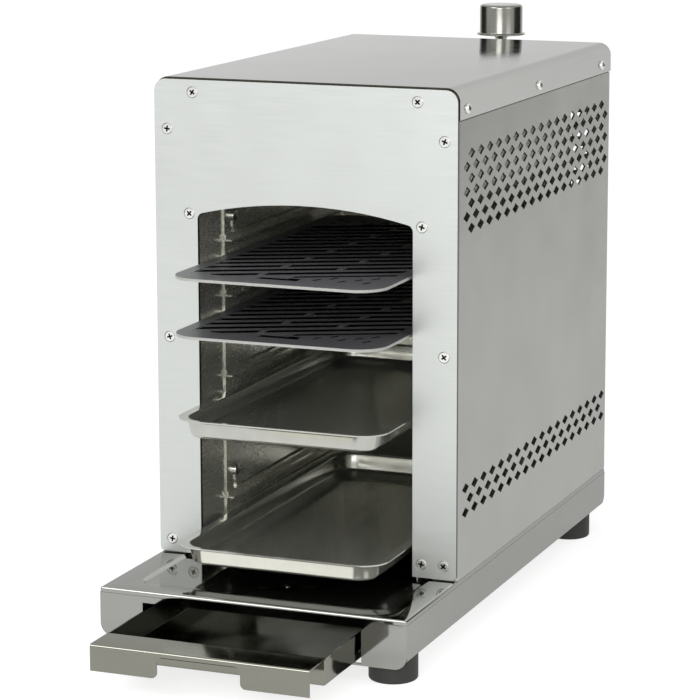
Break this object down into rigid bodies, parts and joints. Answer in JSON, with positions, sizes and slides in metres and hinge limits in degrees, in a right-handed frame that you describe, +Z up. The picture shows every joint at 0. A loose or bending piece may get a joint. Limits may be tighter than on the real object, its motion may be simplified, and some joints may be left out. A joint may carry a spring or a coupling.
{
  "type": "gas steak grill",
  "caption": "Narrow stainless steel top-heat gas grill with slide-in grates and trays, a notched drip drawer under a wide base and a gas tap behind.",
  "frame": {"origin": "centre of the bounding box on the table, with the drawer, trays and grates at rest", "axes": "+X to the grill's right seen from the front, +Y from the open front to the gas tap, +Z up"},
  "size_m": [0.2402, 0.6456, 0.4289],
  "materials": {
    "front_steel": "fine horizontal brushing",
    "side_steel": "satin, fine grain",
    "cover_steel": "satin",
    "polished_steel": "polished to a mirror",
    "drawer_steel": "polished",
    "liner_steel": "plain mill finish",
    "rack_steel": "plain mill finish",
    "tray_steel": "drawn and polished",
    "grate_black": "matt black enamel",
    "screw_steel": "bright",
    "knob_steel": "turned satin",
    "tap_brass": "machined",
    "probe_copper": "drawn tube",
    "tile_ceramic": "perforated, unglazed",
    "foot_rubber": "matt black"
  },
  "bodies": {
    "case": {"front_panel": "front_steel", "front_panel_screws": "screw_steel", "side_panel_left": "side_steel", "side_panel_right": "side_steel", "top_cover": "cover_steel", "cover_screws": "screw_steel", "rear_panel": "side_steel", "rear_panel_screws": "screw_steel", "base_chassis": "polished_steel", "base_screws": "screw_steel", "drawer_rail_left": "liner_steel", "drawer_rail_right": "liner_steel", "foot_front_left": "foot_rubber", "foot_front_right": "foot_rubber", "foot_rear_left": "foot_rubber", "foot_rear_right": "foot_rubber", "foot_screws": "screw_steel", "inner_wall_left": "liner_steel", "inner_wall_right": "liner_steel", "inner_rear_wall": "liner_steel", "rack_posts_left": "rack_steel", "rack_posts_right": "rack_steel", "rack_bolts": "screw_steel", "rail_lower_tray_left": "rack_steel", "rail_lower_tray_right": "rack_steel", "rail_upper_tray_left": "rack_steel", "rail_upper_tray_right": "rack_steel", "rail_lower_grate_left": "rack_steel", "rail_lower_grate_right": "rack_steel", "rail_upper_grate_left": "rack_steel", "rail_upper_grate_right": "rack_steel", "tip_guides_left": "rack_steel", "tip_guides_right": "rack_steel", "burner_housing": "liner_steel", "burner_tiles": "tile_ceramic", "burner_frame": "liner_steel", "burner_screws": "screw_steel", "burner_hood": "liner_steel", "mixer_tube": "liner_steel", "valve_bracket": "side_steel", "bracket_screws": "screw_steel", "injector": "tap_brass", "valve_body": "tap_brass", "gas_inlet": "tap_brass", "flame_probe": "probe_copper"},
    "drawer": {"drip_drawer": "drawer_steel"},
    "upper_grate": {"upper_grate": "grate_black"},
    "lower_grate": {"lower_grate": "grate_black"},
    "upper_tray": {"upper_tray": "tray_steel"},
    "lower_tray": {"lower_tray": "tray_steel"},
    "tap_plug": {"valve_plug": "tap_brass", "return_spring": "screw_steel"},
    "knob": {"valve_spindle": "screw_steel", "control_knob": "knob_steel"}
  },
  "joints": [
    {"name": "drawer_slide", "type": "slide", "parent": "case", "child": "drawer", "axis": [0, -1, 0], "range_m": [-0.06, 0.13]},
    {"name": "upper_grate_slide", "type": "slide", "parent": "case", "child": "upper_grate", "axis": [0, -1, 0], "range_m": [-0.065, 0.26]},
    {"name": "lower_grate_slide", "type": "slide", "parent": "case", "child": "lower_grate", "axis": [0, -1, 0], "range_m": [-0.065, 0.26]},
    {"name": "upper_tray_slide", "type": "slide", "parent": "case", "child": "upper_tray", "axis": [0, -1, 0], "range_m": [-0.062, 0.26]},
    {"name": "lower_tray_slide", "type": "slide", "parent": "case", "child": "lower_tray", "axis": [0, -1, 0], "range_m": [-0.062, 0.26]},
    {"name": "tap_turn", "type": "hinge", "parent": "case", "child": "tap_plug", "pos_m": [0, 0.3022, 0.353], "axis": [0, 0, 1], "range_deg": [0, 180]},
    {"name": "knob_push", "type": "slide", "parent": "tap_plug", "child": "knob", "axis": [0, 0, -1], "range_m": [0, 0.0035], "stiffness_N_per_m": 2000, "springref_m": -0.003, "deforming": ["return_spring"]}
  ]
}
